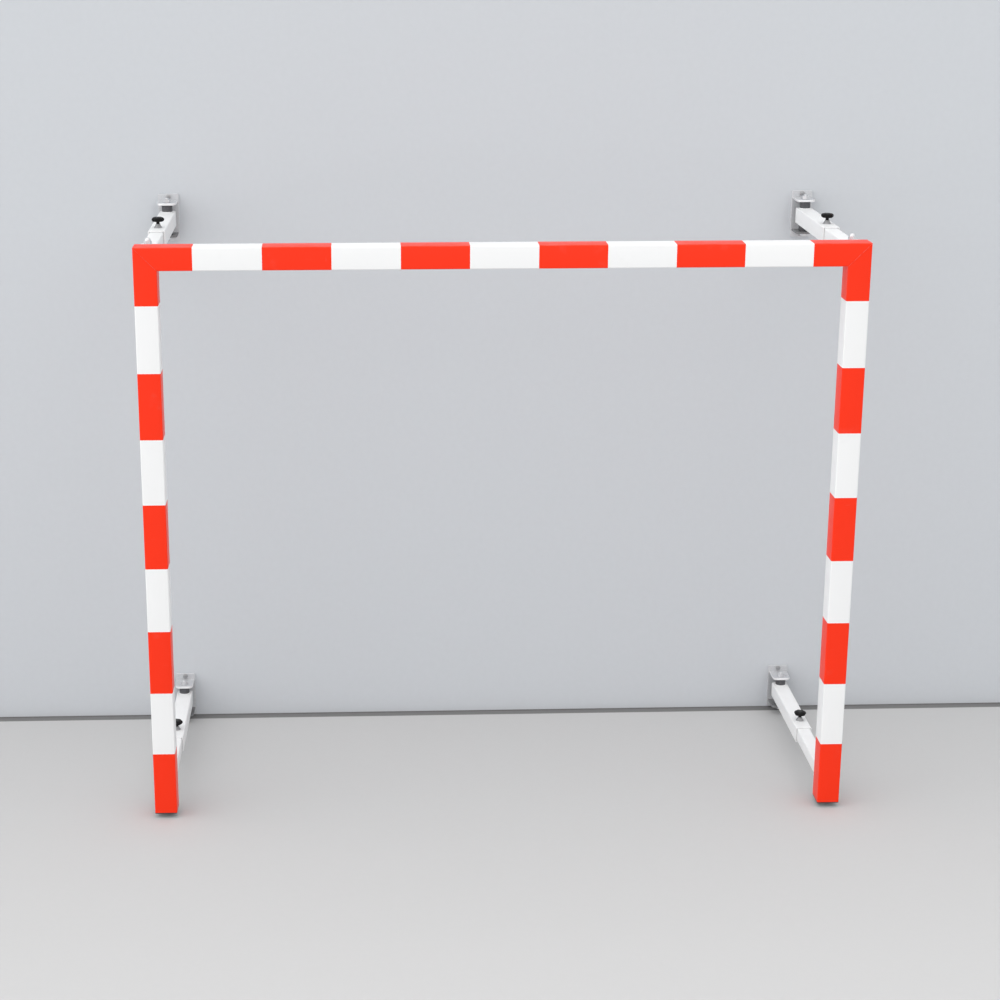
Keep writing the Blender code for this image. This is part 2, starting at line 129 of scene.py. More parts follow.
# A quarter circle, anticlockwise, that starts at so many quarter turns from +X.
def cornerArc(x, y, radius, quarter, steps):
    angles = [quarterTurn * (quarter + step / steps) for step in range(steps + 1)]
    return [(x + radius * math.cos(angle), y + radius * math.sin(angle)) for angle in angles]


# An outline about the origin, anticlockwise, with round corners.
def roundedRectangle(width, height, radius, steps):
    points = []
    for quarter, (signX, signY) in enumerate(((1, 1), (-1, 1), (-1, -1), (1, -1))):
        points += cornerArc(signX * (width / 2 - radius), signY * (height / 2 - radius), radius,
                            quarter, steps)
    return points


# A bracket's ear from above: square at the root Y = 0, round at the nose Y = -length.
def earOutline(width, length, radius, steps, inset):
    half = width / 2 - inset
    curve = radius - inset
    level = -length + inset + curve
    return [(half, -inset), (-half, -inset), *cornerArc(curve - half, level, curve, 2, steps),
            *cornerArc(half - curve, level, curve, 3, steps)]


# Triangles inside closed loops of points, the inner ones being holes.
def fillLoops(shape, loops):
    edges = []
    for loop in loops:
        for pair in zip(loop, loop[1:] + loop[:1]):
            edges.append(shape.edges.get(pair) or shape.edges.new(pair))
    filled = bmesh.ops.triangle_fill(shape, use_beauty=True, use_dissolve=False, edges=edges)
    return [part for part in filled["geom"] if isinstance(part, bmesh.types.BMFace)]


# A flat plate with chamfered rims and round holes; outlineOf gives its outline by inset.
def slab(shape, outlineOf, holes, thick, chamfer, matrix, faceIndex=0, rimIndex=0):
    holeCount = 40
    levels = [(0.0, chamfer), (chamfer, 0.0), (thick - chamfer, 0.0), (thick, chamfer)]
    outer = [addLoop(shape, [(x, y, height) for x, y in outlineOf(inset)])
             for height, inset in levels]
    skinLoops(shape, outer, materialIndex=rimIndex)
    rims = [outer]
    for holeX, holeY, radius in holes:
        wall = []
        for height, inset in levels:
            circle = ringPoints(radius + inset, height, holeCount)
            wall.append(addLoop(shape, [(x + holeX, y + holeY, z) for x, y, z in circle]))
        skinLoops(shape, wall, materialIndex=faceIndex)
        rims.append(wall)
    for level in (0, -1):
        for face in fillLoops(shape, [rim[level] for rim in rims]):
            face.material_index = faceIndex
    moveLoops(shape, [loop for rim in rims for loop in rim], matrix)


# A hexagon with corners at multiples of 60 degrees; heightOf gives a height by reach.
def hexLoop(shape, acrossFlats, count, heightOf):
    points = []
    for index in range(count):
        angle = 2 * math.pi * index / count
        reach = acrossFlats / 2 / math.cos(angle % hexSector - hexSector / 2)
        points.append((reach * math.cos(angle), reach * math.sin(angle), heightOf(reach)))
    return addLoop(shape, points)


# A hexagon head or nut along +Z with turned chamfers. A nut has a bore, and a cap nut a dome too.
def hexSolid(shape, acrossFlats, height, bore, matrix, chamferLow=True, dome=0.0, boreDepth=0.0):
    count = 48
    domeSteps = 12
    flat = 0.95 * acrossFlats / 2
    slope = math.tan(math.radians(30))
    washer = 0.0006
    lip = 0.0010

    def circle(radius, level):
        return addLoop(shape, ringPoints(radius, level, count))

    def rim(level, sign):
        return hexLoop(shape, acrossFlats, count,
                       lambda reach: level - sign * (reach - flat) * slope)

    loops = [circle(flat, 0.0), rim(0.0 if chamferLow else washer, -1), rim(height, 1),
             circle(flat, height)]
    if dome:
        for reach, level in ((bore + lip, 0.0), (bore, lip), (bore, boreDepth), (0.0, boreDepth)):
            loops.insert(0, circle(reach, level))
        for step in range(domeSteps + 1):
            rise = quarterTurn * step / domeSteps
            reach = dome * math.cos(rise) if step < domeSteps else 0.0
            loops.append(circle(reach, height + dome * math.sin(rise)))
    elif bore:
        loops += [circle(bore + lip, height), circle(bore, height - lip), circle(bore, lip),
                  circle(bore + lip, 0.0)]
    else:
        loops = [circle(0.0, 0.0), *loops, circle(0.0, height)]
    skinLoops(shape, loops, closed=bool(bore) and not dome)
    moveLoops(shape, loops, matrix)


# A rod with a plain stretch, then a helical thread and a chamfered tip.
def threadedRod(shape, radius, low, threadLow, high, pitch, place, count=32):
    depth = 0.30 * pitch
    chamfer = 0.0012
    stepsPerTurn = 6
    run = high - chamfer - threadLow
    steps = max(1, round(run / pitch * stepsPerTurn))
    levels = [low, threadLow, *[threadLow + run * step / steps for step in range(1, steps + 1)],
              high]
    loops = [addLoop(shape, [Vector((0.0, 0.0, low)) + Vector(place)])]
    for level in levels:
        points = []
        for x, y, z in ringPoints(1.0, level, count):
            turn = math.atan2(y, x)
            wave = 0.5 - 0.5 * math.cos(2 * math.pi * (level - threadLow) / pitch - turn)
            reach = radius - (depth * wave if level > threadLow else 0.0)
            reach -= chamfer if level == high else 0.0
            points.append(Vector((x * reach, y * reach, z)) + Vector(place))
        loops.append(addLoop(shape, points))
    loops.append(addLoop(shape, [Vector((0.0, 0.0, high)) + Vector(place)]))
    skinLoops(shape, loops)


# A welded seam: a rounded bead along points, swelling at each ripple.
def weldBead(shape, points, radius, closed=False):
    sides = 8
    ripple = 0.0024
    travelled = 0.0
    loops = []
    count = len(points)
    for index, point in enumerate(points):
        before = points[index - 1] if index or closed else point
        after = points[(index + 1) % count] if index < count - 1 or closed else point
        tangent = (after - before).normalized()
        across = tangent.cross(Vector((0.0, 0.0, 1.0))).normalized()
        upward = across.cross(tangent)
        travelled += (point - before).length if index else 0.0
        swell = radius * (0.84 + 0.16 * abs(math.cos(math.pi * travelled / ripple)))
        loop = []
        for side in range(sides):
            angle = 2 * math.pi * side / sides
            loop.append(point + across * swell * math.cos(angle) + upward * swell * math.sin(angle))
        loops.append(addLoop(shape, loop))
    if not closed:
        first = addLoop(shape, [points[0]])
        loops = [first, *loops, addLoop(shape, [points[-1]])]
    skinLoops(shape, loops, closed)


def linePoints(start, end, spacing):
    steps = max(2, round((end - start).length / spacing))
    return [start.lerp(end, step / steps) for step in range(steps + 1)]


def circlePoints(place, radius, spacing):
    count = max(16, round(2 * math.pi * radius / spacing))
    return [Vector(point) + Vector(place) for point in ringPoints(radius, 0.0, count)]


def shadeMesh(mesh, sharpAngle=32.0):
    mesh.shade_smooth()
    mesh.set_sharp_from_angle(angle=math.radians(sharpAngle))


# Makes the shape a named piece that rides on a body and stands for its CAD node, if it has one.
# Its finishes become its materials, in order.
def finishPiece(name, shape, finishes, body, node=None, **shading):
    bmesh.ops.recalc_face_normals(shape, faces=shape.faces)
    mesh = meshFrom(name, shape)
    shadeMesh(mesh, **shading)
    for finish in finishes:
        mesh.materials.append(materials[finish])
    piece = placeObject(name, mesh)
    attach(piece, body)
    if node:
        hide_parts(node)
    return piece


# Cuts upright round holes, each given by place, radius and length, out of a piece.
def drill(piece, holes):
    cutters = []
    for place, radius, length in holes:
        shape = bmesh.new()
        bmesh.ops.create_cone(shape, cap_ends=True, segments=64, radius1=radius, radius2=radius,
                              depth=length, matrix=Matrix.Translation(place))
        bit = placeObject("drill_bit", meshFrom("drill_bit", shape))
        modifier = piece.modifiers.new("hole", "BOOLEAN")
        modifier.operation = "DIFFERENCE"
        modifier.object = bit
        cutters.append(bit)
    bpy.context.view_layer.update()
    evaluated = piece.evaluated_get(bpy.context.evaluated_depsgraph_get())
    cut = bpy.data.meshes.new_from_object(evaluated)
    piece.modifiers.clear()
    piece.data = cut
    for bit in cutters:
        bpy.data.objects.remove(bit)
    shadeMesh(cut)


# Node tools

# Sets an input to a number, a vector or a colour, or links an output to it.
def feed(tree, socket, value):
    if isinstance(value, (int, float)):
        socket.default_value = value
    elif isinstance(value, tuple):
        socket.default_value = (*value, 1.0)[:len(socket.default_value)]
    else:
        tree.links.new(value, socket)


# A socket's title from an argument's name: waveScale stands for Wave Scale.
def titleOf(name):
    return "".join(" " + letter if letter.isupper() else letter for letter in name).title()


# Feeds a node's inputs, as in baseColor=colour.
def fillNode(tree, node, **inputs):
    for name, value in inputs.items():
        feed(tree, node.inputs[titleOf(name)], value)
    return node


def makeNode(tree, kind, **inputs):
    return fillNode(tree, tree.nodes.new(kind), **inputs)


# The tools below return an output. A Math node first, and its two most used kinds.
def mathNode(tree, operation, *values, clamp=False):
    node = tree.nodes.new("ShaderNodeMath")
    node.operation = operation
    node.use_clamp = clamp
    for index, value in enumerate(values):
        feed(tree, node.inputs[index], value)
    return node.outputs[0]


def multiply(tree, first, second, clamp=False):
    return mathNode(tree, "MULTIPLY", first, second, clamp=clamp)


def add(tree, first, second):
    return mathNode(tree, "ADD", first, second)


def splitAxes(tree, vector):
    return makeNode(tree, "ShaderNodeSeparateXYZ", vector=vector).outputs


def surfaceNormal(tree):
    return makeNode(tree, "ShaderNodeNewGeometry").outputs["Normal"]


# The point on the piece in the frame's metres, stretched along each axis.
def objectPoint(tree, stretch=(1.0, 1.0, 1.0)):
    point = makeNode(tree, "ShaderNodeTexCoord").outputs["Object"]
    return makeNode(tree, "ShaderNodeMapping", scale=stretch, vector=point).outputs["Vector"]


# Noise from about 0 to 1, at so many features a metre.
def noiseValue(tree, point, scale, detail=2.0, roughness=0.5):
    return makeNode(tree, "ShaderNodeTexNoise", scale=scale, detail=detail, roughness=roughness,
                    vector=point).outputs["Fac"]


# A value stretched so that low becomes 0 and high becomes 1, smoothly.
def rangeNode(tree, value, low, high):
    node = makeNode(tree, "ShaderNodeMapRange", fromMin=low, fromMax=high, value=value)
    node.interpolation_type = "SMOOTHSTEP"
    return node.outputs["Result"]


# A colour drawn to another by a mask, which a weight can lower.
def tint(tree, colour, other, mask, weight=None):
    mix = tree.nodes.new("ShaderNodeMix")
    mix.data_type = "RGBA"
    feed(tree, mix.inputs[0], mask if weight is None else multiply(tree, mask, weight))
    feed(tree, mix.inputs[6], colour)
    feed(tree, mix.inputs[7], other)
    return mix.outputs[2]


def startMaterial(name, roughness, metallic=0.0, shine=0.5):
    material = bpy.data.materials.new(name)
    material.use_nodes = True
    tree = material.node_tree
    shader = fillNode(tree, tree.nodes["Principled BSDF"], roughness=roughness, metallic=metallic)
    shader.inputs["Specular IOR Level"].default_value = shine
    return material, tree, shader


# Camera, stage and lights

shot = {
    "place": (-0.503, -7.672, 3.237),
    "turnToRight": 2.129,
    "tiltDown": 16.031,
    "focalPixels": 2010.0,
    "axisPixel": (430.0, 467.0),
    "picturePixels": 1000.0,
    "sensor": 36.0,
    "farthest": 60.0,
}

studio = {
    "floorDrop": 0.018,
    "floorReach": 9.0,
    "wallReach": 6.0,
    "wallHeight": 4.0,
    "footLine": 0.036,
    "footUp": 0.005,
    "lineLift": 0.0002,
    "behindPlates": 0.0002,
    "openingInset": 0.0018,
    "openingRound": 0.0075,
    "floorColour": (0.525, 0.525, 0.525),
    "wallColour": (0.578, 0.602, 0.632),
    # Painted shade for the strips where the floor meets the wall.
    "shadeLineColour": (0.19, 0.19, 0.19),
    "skyLevel": 0.84,
    "skyTop": 0.88,
    "skyLeft": 0.94,
    "skySeen": 0.60,
}

softboxes = {
    "soft_left": {"place": (-5.8, -2.8, 3.0), "size": 2.8, "power": 12.0},
    "soft_front": {"place": (1.6, -6.5, 4.2), "size": 2.8, "power": 16.0},
}


def buildCamera():
    camera = placeObject("photo_camera", bpy.data.cameras.new("photo_camera"))
    camera.location = shot["place"]
    camera.rotation_euler = (quarterTurn - math.radians(shot["tiltDown"]), 0.0,
                             -math.radians(shot["turnToRight"]))
    camera.data.sensor_width = shot["sensor"]
    camera.data.lens = shot["focalPixels"] * shot["sensor"] / shot["picturePixels"]
    middle = shot["picturePixels"] / 2
    camera.data.shift_x = (middle - shot["axisPixel"][0]) / shot["picturePixels"]
    camera.data.shift_y = (shot["axisPixel"][1] - middle) / shot["picturePixels"]
    camera.data.clip_end = shot["farthest"]
    bpy.context.scene.camera = camera


# A stage rectangle between two corners that share one coordinate.
def stageSurface(name, low, high, material):
    axes = [axis for axis in range(3) if low[axis] != high[axis]]
    points = []
    for ends in ((0, 0), (1, 0), (1, 1), (0, 1)):
        point = list(low)
        for axis, end in zip(axes, ends):
            point[axis] = (low, high)[end][axis]
        points.append(point)
    mesh = bpy.data.meshes.new(name)
    mesh.from_pydata(points, [], [(0, 1, 2, 3)])
    mesh.materials.append(material)
    placeObject(name, mesh)


# The wall, open just behind each plate so that light from behind reaches the plate's back.
def stageWall(name, reach, wallY, low, high, material):
    shape = bmesh.new()
    loops = [addLoop(shape, [(x, wallY, z) for x, z in (
        (-reach, low), (reach, low), (reach, high), (-reach, high))])]
    for cornerName in cornerNames:
        plateLow, plateHigh, middle = spanOf("wall_bracket_" + cornerName)
        width = plateHigh.x - plateLow.x - 2 * studio["openingInset"]
        height = plateHigh.z - plateLow.z - 2 * studio["openingInset"]
        outline = roundedRectangle(width, height, studio["openingRound"], 6)
        loops.append(addLoop(shape, [(middle.x + x, wallY, middle.z + z) for x, z in outline]))
    fillLoops(shape, loops)
    for face in shape.faces:
        face.normal_update()
        if face.normal.y > 0.0:
            face.normal_flip()
    mesh = meshFrom(name, shape)
    mesh.materials.append(material)
    placeObject(name, mesh)


# A matt plain surface with faint mottling, seen from its front side only.
def stageMaterial(name, colour, grain):
    material, tree, shader = startMaterial(name, 0.75, shine=0.25)
    dark, pale = (tuple(channel * (1.0 + side * grain) for channel in colour) for side in (-1, 1))
    mottle = noiseValue(tree, makeNode(tree, "ShaderNodeTexCoord").outputs["Object"], 45.0, 4.0)
    fillNode(tree, shader, baseColor=tint(tree, dark, pale, mottle))
    fromBack = makeNode(tree, "ShaderNodeNewGeometry").outputs["Backfacing"]
    clear = makeNode(tree, "ShaderNodeBsdfTransparent").outputs[0]
    either = tree.nodes.new("ShaderNodeMixShader")
    for index, source in enumerate((fromBack, shader.outputs[0], clear)):
        feed(tree, either.inputs[index], source)
    fillNode(tree, tree.nodes["Material Output"], surface=either.outputs[0])
    return material


# Floor and wall, with narrow dark strips of painted shade where they meet, on the floor and up the
# wall.
def buildStage():
    floorZ = -studio["floorDrop"]
    wallY = studio["behindPlates"]
    lineZ = floorZ + studio["lineLift"]
    lineY = wallY - studio["lineLift"]
    reach = studio["wallReach"]
    edge = studio["floorReach"]
    floorMaterial = stageMaterial("stage_floor", studio["floorColour"], 0.012)
    wallMaterial = stageMaterial("stage_wall", studio["wallColour"], 0.02)
    shadeLineMaterial = stageMaterial("stage_painted_shade_line", studio["shadeLineColour"], 0.01)
    stageSurface("stage_floor", (-edge, -edge, floorZ), (edge, edge, floorZ), floorMaterial)
    stageWall("stage_wall", reach, wallY, floorZ, studio["wallHeight"], wallMaterial)
    stageSurface("stage_painted_shade_line", (-reach, wallY - studio["footLine"], lineZ), (reach, wallY, lineZ),
                 shadeLineMaterial)
    stageSurface("stage_painted_shade_upstand", (-reach, lineY, floorZ), (reach, lineY, floorZ + studio["footUp"]),
                 shadeLineMaterial)


# Two faint softboxes for highlights, and a pale sky that is brighter overhead and on the left.
# The camera sees the sky as an even grey.
def buildLights():
    target = Vector((0.0, -0.5, 1.0))
    for name, box in softboxes.items():
        lamp = bpy.data.lights.new(name, "AREA")
        lamp.shape = "SQUARE"
        lamp.size = box["size"]
        lamp.energy = box["power"]
        holder = placeObject(name, lamp)
        holder.location = box["place"]
        holder.rotation_euler = (target - holder.location).to_track_quat("-Z", "Y").to_euler()
    world = bpy.data.worlds.new("studio_dome")
    bpy.context.scene.world = world
    world.use_nodes = True
    tree = world.node_tree
    axes = splitAxes(tree, makeNode(tree, "ShaderNodeTexCoord").outputs["Generated"])
    upward = mathNode(tree, "MAXIMUM", axes["Z"], 0.0)
    leftward = mathNode(tree, "MAXIMUM", multiply(tree, axes["X"], -1.0), 0.0)
    above = multiply(tree, mathNode(tree, "POWER", upward, 2.0), studio["skyTop"])
    beside = multiply(tree, leftward, studio["skyLeft"])
    level = add(tree, add(tree, above, beside), studio["skyLevel"])
    seen = makeNode(tree, "ShaderNodeLightPath").outputs["Is Camera Ray"]
    unseen = mathNode(tree, "SUBTRACT", 1.0, seen)
    strength = add(tree, multiply(tree, level, unseen), multiply(tree, seen, studio["skySeen"]))
    fillNode(tree, tree.nodes["Background"], color=(1.0, 1.0, 1.0), strength=strength)


bpy.context.scene.view_settings.view_transform = "Standard"
buildCamera()
buildStage()
buildLights()
print("camera, stage and lights placed")


# Shader groups: each puts out masks, tones or heights that vary over the surface

def addSocket(group, name, way):
    return group.interface.new_socket(titleOf(name), in_out=way, socket_type="NodeSocketFloat")


# An empty node group with named numbers going in, as in waveScale=620.
def newGroup(title, **inputs):
    group = bpy.data.node_groups.new(title, "ShaderNodeTree")
    for name, value in inputs.items():
        addSocket(group, name, "INPUT").default_value = value
    return group, group.nodes.new("NodeGroupInput").outputs


# Ends a group with its named results.
def putOut(group, **results):
    for name in results:
        addSocket(group, name, "OUTPUT")
    makeNode(group, "NodeGroupOutput", **results)
    return group


# Powder coat: the orange-peel height, and how tone and roughness drift.
def buildPeelGroup():
    group, taken = newGroup("powder_peel", waveScale=620.0, driftScale=6.0)
    point = objectPoint(group)
    peel = noiseValue(group, point, taken["Wave Scale"], 1.5)
    fine = noiseValue(group, point, 2400.0, 1.0)
    return putOut(group, height=add(group, peel, multiply(group, fine, 0.25)),
                  drift=noiseValue(group, point, taken["Drift Scale"], 3.0))


# Edge wear: a mask along outer edges, broken up by noise.
def buildRubGroup():
    group, taken = newGroup("edge_rub", reach=0.0025, breakUp=90.0, amount=1.0)
    rounded = makeNode(group, "ShaderNodeBevel", radius=taken["Reach"])
    rounded.samples = 6
    dot = group.nodes.new("ShaderNodeVectorMath")
    dot.operation = "DOT_PRODUCT"
    feed(group, dot.inputs[0], surfaceNormal(group))
    feed(group, dot.inputs[1], rounded.outputs["Normal"])
    bend = mathNode(group, "SUBTRACT", 1.0, dot.outputs["Value"])
    breakUp = noiseValue(group, objectPoint(group), taken["Break Up"], 4.0, 0.6)
    broken = multiply(group, rangeNode(group, bend, 0.02, 0.20),
                      rangeNode(group, breakUp, 0.40, 0.66))
    return putOut(group, mask=multiply(group, broken, taken["Amount"], clamp=True))


# Dust on faces that look up, gathered in soft patches.
def buildDustGroup():
    group, taken = newGroup("settled_dust", patchScale=14.0, amount=0.3)
    facing = rangeNode(group, splitAxes(group, surfaceNormal(group))["Z"], 0.35, 0.95)
    point = objectPoint(group)
    clouds = noiseValue(group, point, taken["Patch Scale"], 5.0, 0.65)
    fine = rangeNode(group, noiseValue(group, point, 420.0, 2.0), 0.3, 0.7)
    patchy = multiply(group, rangeNode(group, clouds, 0.35, 0.75),
                      add(group, 0.6, multiply(group, fine, 0.4)))
    settled = multiply(group, patchy, facing)
    return putOut(group, mask=multiply(group, settled, taken["Amount"], clamp=True))


# Scuffs: sparse soft smudges and short fine scratches.
def buildScuffGroup():
    group, taken = newGroup("scuff_marks", smudgeScale=9.0, amount=0.4)
    point = objectPoint(group)
    wide = rangeNode(group, noiseValue(group, point, taken["Smudge Scale"], 3.0, 0.7), 0.60, 0.78)
    grainy = rangeNode(group, noiseValue(group, point, 260.0, 3.0, 0.7), 0.30, 0.70)
    slanted = noiseValue(group, objectPoint(group, (1.0, 1.0, 0.06)), 300.0, 2.0)
    crossed = noiseValue(group, objectPoint(group, (0.05, 1.0, 1.0)), 330.0, 2.0)
    lines = add(group, rangeNode(group, slanted, 0.70, 0.76), rangeNode(group, crossed, 0.71, 0.77))
    places = rangeNode(group, noiseValue(group, point, 5.0, 2.0), 0.50, 0.68)
    smudge = multiply(group, wide, grainy)
    scratch = multiply(group, lines, places)
    return putOut(group, smudge=multiply(group, smudge, taken["Amount"], clamp=True),
                  scratch=multiply(group, scratch, taken["Amount"], clamp=True))


# Zinc plating: a fine crystal tone, rolling lines and a low height.
def buildSpangleGroup():
    group, taken = newGroup("zinc_spangle", crystalScale=260.0)
    point = objectPoint(group)
    crystals = makeNode(group, "ShaderNodeTexVoronoi", scale=taken["Crystal Scale"], vector=point)
    grey = makeNode(group, "ShaderNodeSeparateColor", color=crystals.outputs["Color"]).outputs[0]
    rolled = noiseValue(group, objectPoint(group, (1.0, 0.04, 1.0)), 900.0, 2.0)
    fine = noiseValue(group, point, 1500.0, 1.0)
    tone = add(group, multiply(group, grey, 0.55), multiply(group, rolled, 0.45))
    height = add(group, multiply(group, rolled, 0.6), multiply(group, fine, 0.4))
    return putOut(group, tone=tone, height=height, cloud=noiseValue(group, point, 32.0, 4.0, 0.6))


# Moulded plastic: a fine spark-eroded grain and slow gloss patches.
def buildGrainGroup():
    group, taken = newGroup("mould_grain", grainScale=1800.0)
    point = objectPoint(group)
    grain = makeNode(group, "ShaderNodeTexVoronoi", vector=point)
    grain.feature = "SMOOTH_F1"
    feed(group, grain.inputs["Scale"], taken["Grain Scale"])
    return putOut(group, height=grain.outputs["Distance"],
                  patch=noiseValue(group, point, 60.0, 4.0, 0.6))


# Colour bands along a bar: 1 in every second band, with a faintly uneven masked edge.
def buildBandGroup():
    group, taken = newGroup("colour_bands", along=0.0, start=0.0, bandLength=0.2344)
    uneven = noiseValue(group, objectPoint(group), 160.0, 3.0)
    wander = multiply(group, mathNode(group, "SUBTRACT", uneven, 0.5), 0.0012)
    run = mathNode(group, "SUBTRACT", add(group, taken["Along"], wander), taken["Start"])
    index = mathNode(group, "FLOOR", mathNode(group, "DIVIDE", run, taken["Band Length"]))
    return putOut(group, mask=mathNode(group, "FLOORED_MODULO", index, 2.0))


groups = {
    "peel": buildPeelGroup(),
    "rub": buildRubGroup(),
    "dust": buildDustGroup(),
    "scuff": buildScuffGroup(),
    "spangle": buildSpangleGroup(),
    "grain": buildGrainGroup(),
    "bands": buildBandGroup(),
}


# Materials

# The results of one of the shader groups in a material.
def useGroup(tree, key, **inputs):
    node = tree.nodes.new("ShaderNodeGroup")
    node.node_tree = groups[key]
    return fillNode(tree, node, **inputs).outputs


# Feeds a height in 0 to 1 to the shader's normal, at a depth in metres.
def shadeBump(tree, shader, height, depth):
    bump = makeNode(tree, "ShaderNodeBump", distance=depth, height=height)
    fillNode(tree, shader, normal=bump.outputs["Normal"])


# Roughness as a base number plus masks times weights.
def shadeRoughness(tree, shader, total, *terms):
    for value, weight in terms:
        total = add(tree, total, multiply(tree, value, weight))
    fillNode(tree, shader, roughness=total)


coat = {
    "red": (0.93, 0.028, 0.002),
    "redWorn": (0.84, 0.048, 0.014),
    "white": (0.86, 0.865, 0.865),
    "whiteDrift": (0.835, 0.84, 0.845),
    "dust": (0.60, 0.59, 0.57),
    "smudge": (0.36, 0.35, 0.34),
    "primer": (0.68, 0.68, 0.67),
    "peelDepth": 0.00005,
    "roughness": 0.36,
    "shine": 0.24,
}


# What every powder coat has: drift, dust, smudges, rubbed edges and orange peel.
def coatSurface(tree, shader, colour, marks):
    peel = useGroup(tree, "peel")
    scuff = useGroup(tree, "scuff", amount=marks)
    dust = useGroup(tree, "dust", amount=0.10)
    rub = useGroup(tree, "rub", amount=0.35)
    colour = tint(tree, colour, coat["primer"], rub["Mask"], 0.5)
    colour = tint(tree, colour, coat["smudge"], scuff["Smudge"], 0.30)
    colour = tint(tree, colour, coat["primer"], scuff["Scratch"], 0.25)
    colour = tint(tree, colour, coat["dust"], dust["Mask"])
    fillNode(tree, shader, baseColor=colour)
    shadeRoughness(tree, shader, coat["roughness"] - 0.03, (peel["Drift"], 0.06),
                   (dust["Mask"], 0.5), (scuff["Smudge"], 0.15))
    return mathNode(tree, "SUBTRACT", peel["Height"], multiply(tree, scuff["Scratch"], 0.8))


# Red and white bands along X, counted from the middle, or down Z from the corner.
def bandedMaterial(name, axis, mirrored, start, bandLength):
    material, tree, shader = startMaterial(name, coat["roughness"], shine=coat["shine"])
    place = splitAxes(tree, objectPoint(tree))[axis]
    along = mathNode(tree, "ABSOLUTE", place) if mirrored else multiply(tree, place, -1.0)
    bands = useGroup(tree, "bands", along=along, start=start, bandLength=bandLength)["Mask"]
    drift = useGroup(tree, "peel", driftScale=3.0)["Drift"]
    white = tint(tree, coat["white"], coat["whiteDrift"], drift)
    red = tint(tree, coat["red"], coat["redWorn"], drift, 0.12)
    height = coatSurface(tree, shader, tint(tree, white, red, bands), 0.30)
    shadeBump(tree, shader, add(tree, height, multiply(tree, bands, 1.5)), coat["peelDepth"])
    return material


# White powder coat on the arms, with sliding marks along the inner tubes.
def armCoatMaterial(name, slideWear):
    material, tree, shader = startMaterial(name, coat["roughness"], shine=coat["shine"])
    drift = useGroup(tree, "peel", driftScale=5.0)["Drift"]
    streaks = noiseValue(tree, objectPoint(tree, (1.0, 0.015, 1.0)), 420.0, 3.0)
    marks = multiply(tree, rangeNode(tree, streaks, 0.62, 0.80), slideWear)
    colour = tint(tree, coat["white"], coat["whiteDrift"], drift)
    height = coatSurface(tree, shader, tint(tree, colour, coat["primer"], marks), 0.35)
    shadeBump(tree, shader, mathNode(tree, "SUBTRACT", height, marks), coat["peelDepth"])
    return material


metal = {
    "edge": (0.80, 0.80, 0.81),
    "cast": (0.62, 0.62, 0.63),
    "castDark": (0.56, 0.57, 0.59),
    "sleeve": (0.085, 0.085, 0.092),
    "sleeveEdge": (0.25, 0.25, 0.26),
    "plateDepth": 0.00003,
    "castDepth": 0.0003,
}

# Each plated metal's light and dark tone, roughness, metalness and edge wear.
platings = {
    "zinc_plate": ((0.70, 0.71, 0.73), (0.56, 0.57, 0.59), 0.44, 0.50, 0.9),
    "fastener_zinc": ((0.72, 0.72, 0.73), (0.70, 0.71, 0.73), 0.34, 0.85, 0.9),
    # Paler zinc with a painted highlight, for the front rim of a wall bracket's upper ear.
    "painted_highlight_zinc": ((0.90, 0.90, 0.91), (0.80, 0.80, 0.81), 0.36, 0.55, 0.9),
    # Dark zinc with painted shade, for a wall bracket's lower ear under the arm.
    "painted_shade_zinc": ((0.25, 0.25, 0.255), (0.17, 0.17, 0.175), 0.52, 0.35, 0.25),
    "boss_zinc": ((0.36, 0.365, 0.37), (0.25, 0.25, 0.26), 0.46, 0.6, 0.9),
    "anchor_steel": ((0.46, 0.46, 0.47), (0.34, 0.34, 0.35), 0.30, 0.95, 0.9),
    "weld_zinc": ((0.42, 0.42, 0.42), (0.56, 0.57, 0.59), 0.50, 0.6, 0.9),
}


def platedMaterial(name):
    base, dark, roughness, metallic, wear = platings[name]
    material, tree, shader = startMaterial(name, roughness, metallic)
    spangle = useGroup(tree, "spangle")
    rub = useGroup(tree, "rub", reach=0.0015, amount=wear)["Mask"]
    dust = useGroup(tree, "dust", amount=0.25)["Mask"]
    colour = tint(tree, base, dark, spangle["Tone"])
    colour = tint(tree, colour, dark, spangle["Cloud"], 0.35)
    colour = tint(tree, colour, metal["edge"], rub)
    metalness = multiply(tree, mathNode(tree, "SUBTRACT", 1.0, dust), metallic)
    fillNode(tree, shader, baseColor=tint(tree, colour, coat["dust"], dust), metallic=metalness)
    shadeRoughness(tree, shader, roughness - 0.08, (spangle["Cloud"], 0.16),
                   (spangle["Tone"], 0.06), (rub, -0.10), (dust, 0.4))
    shadeBump(tree, shader, spangle["Height"], metal["plateDepth"])
    return material


# Sand-cast aluminium inside the corners: coarse and matt.
def castMaterial(name):
    material, tree, shader = startMaterial(name, 0.6, 0.9)
    cloud = useGroup(tree, "spangle", crystalScale=120.0)["Cloud"]
    fillNode(tree, shader, baseColor=tint(tree, metal["cast"], metal["castDark"], cloud))
    rough = noiseValue(tree, objectPoint(tree), 700.0, 4.0, 0.7)
    shadeRoughness(tree, shader, 0.5, (rough, 0.2))
    shadeBump(tree, shader, rough, metal["castDepth"])
    return material


# Blackened steel with a greasy film and bright rubbed edges.
def sleeveMaterial(name):
    material, tree, shader = startMaterial(name, 0.42, 0.3)
    film = useGroup(tree, "grain", grainScale=900.0)["Patch"]
    rub = useGroup(tree, "rub", reach=0.0015, amount=0.7)["Mask"]
    fillNode(tree, shader, baseColor=tint(tree, metal["sleeve"], metal["sleeveEdge"], rub))
    shadeRoughness(tree, shader, 0.32, (film, 0.25))
    turned = noiseValue(tree, objectPoint(tree, (0.02, 0.02, 1.0)), 1500.0, 1.0)
    shadeBump(tree, shader, turned, metal["plateDepth"])
    return material


